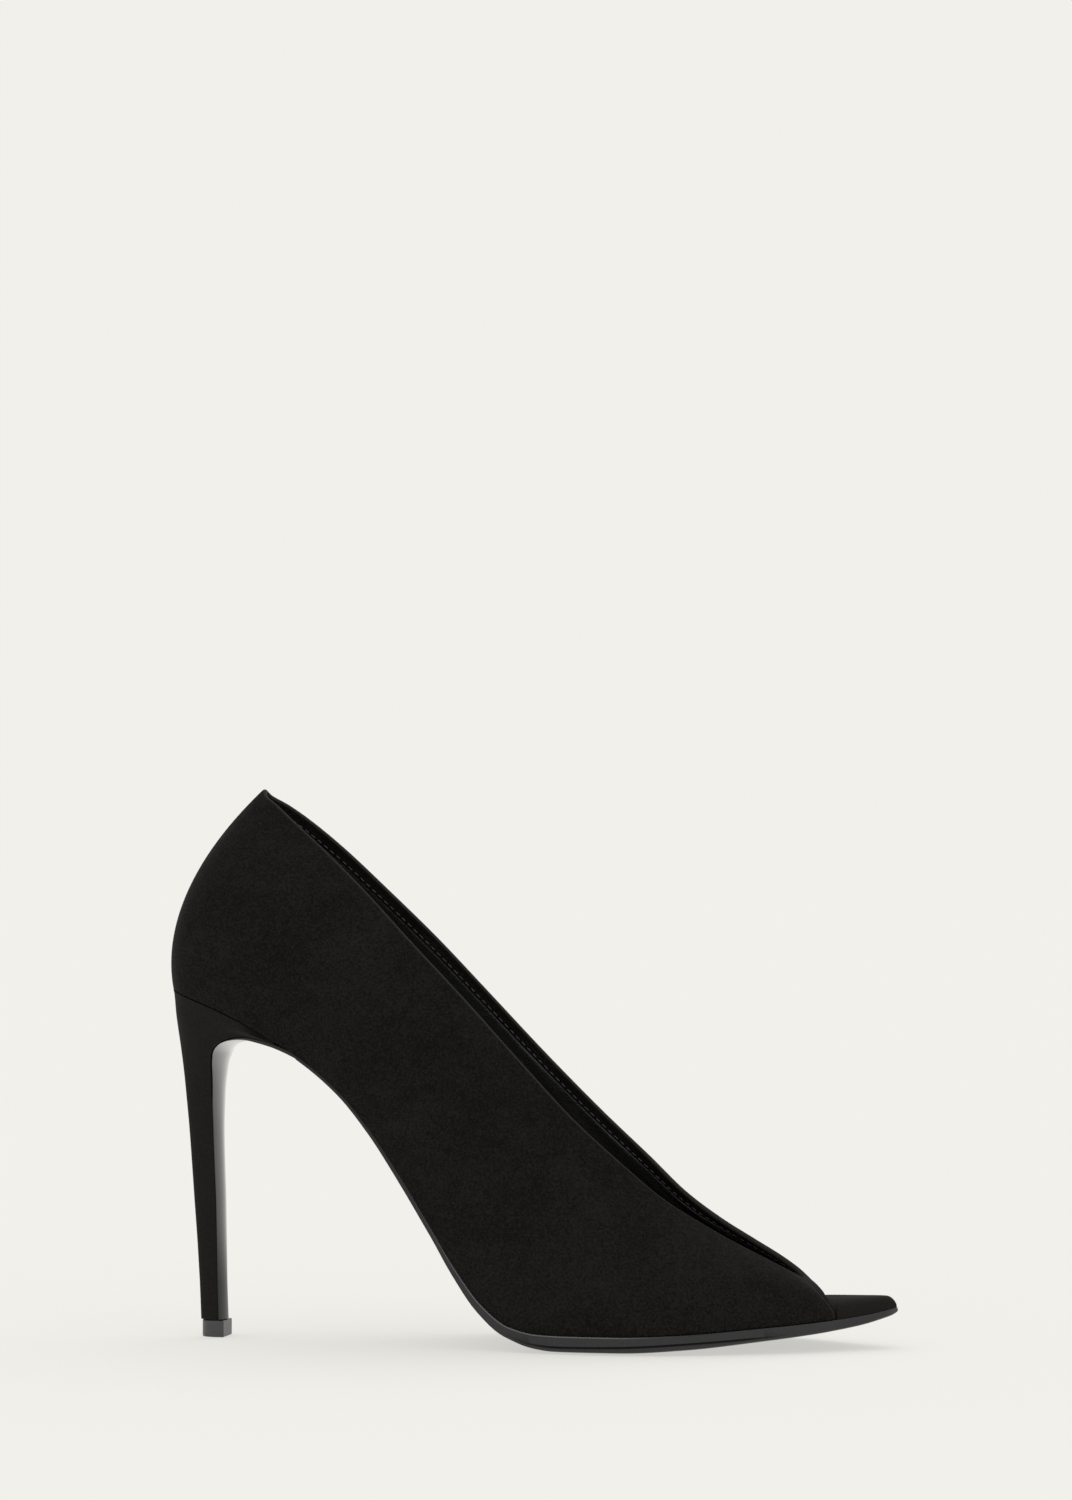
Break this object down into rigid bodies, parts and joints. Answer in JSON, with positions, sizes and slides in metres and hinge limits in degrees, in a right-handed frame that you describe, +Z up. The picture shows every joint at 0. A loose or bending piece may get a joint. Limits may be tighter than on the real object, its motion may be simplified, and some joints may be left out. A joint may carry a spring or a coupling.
{
  "type": "peep toe pump",
  "caption": "High stiletto pump for the right foot, with a deep V throat, an open peep over a pointed toe bed, and a thin sole that turns down over the front of the heel.",
  "frame": {"origin": "middle of the shoe's footprint, on the plane it stands on", "axes": "+X from the heel to the toe, -Y towards the outer side of the foot, +Z up"},
  "size_m": [0.2298, 0.0782, 0.1721],
  "materials": {
    "upper_suede": "matte suede",
    "insole_leather": "smooth leather sock, suede on the toe bed",
    "sole_leather": "satin edge, glossy at the front of the heel",
    "heel_suede": "matte suede",
    "top_piece_rubber": "satin"
  },
  "bodies": {
    "root": {"upper": "upper_suede", "insole": "insole_leather", "outsole": "sole_leather", "heel": "heel_suede", "top_piece": "top_piece_rubber"}
  },
  "joints": []
}
